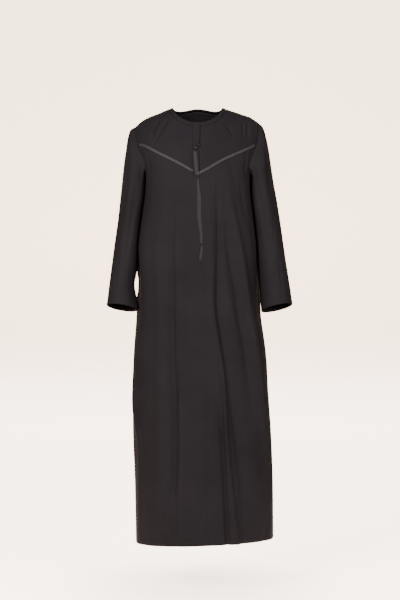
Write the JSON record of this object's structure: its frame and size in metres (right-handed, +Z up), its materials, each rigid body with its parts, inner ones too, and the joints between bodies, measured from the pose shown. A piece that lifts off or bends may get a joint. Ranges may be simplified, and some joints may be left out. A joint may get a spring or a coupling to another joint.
{
  "type": "thobe",
  "caption": "Collarless ankle-length thobe in its hollow worn form, with long sleeves, a V of tape at the chest and a tape stem down the front placket.",
  "frame": {"origin": "middle of the body between the shoulders, at the height where the cloth rests on them", "axes": "+X towards the wearer's left, +Y towards the back, +Z up along the wearer; the front faces -Y"},
  "size_m": [0.6005, 0.3258, 1.4091],
  "materials": {
    "cloth": "smooth fine twill, soft low sheen",
    "tape": "narrow ribbed woven tape, slightly glossier than the cloth",
    "button": "satin black ball button"
  },
  "bodies": {
    "root": {"front_yoke_right": "cloth", "front_yoke_left": "cloth", "lower_front": "cloth", "back": "cloth", "sleeve_right": "cloth", "sleeve_left": "cloth", "neckband": "cloth", "placket": "cloth", "yoke_tape_right": "tape", "yoke_tape_left": "tape", "stem_tape_upper": "tape", "stem_tape_lower": "tape", "stem_tape_tail": "tape", "button_loop": "tape", "button": "button", "button_loop_knot": "button"}
  },
  "joints": []
}
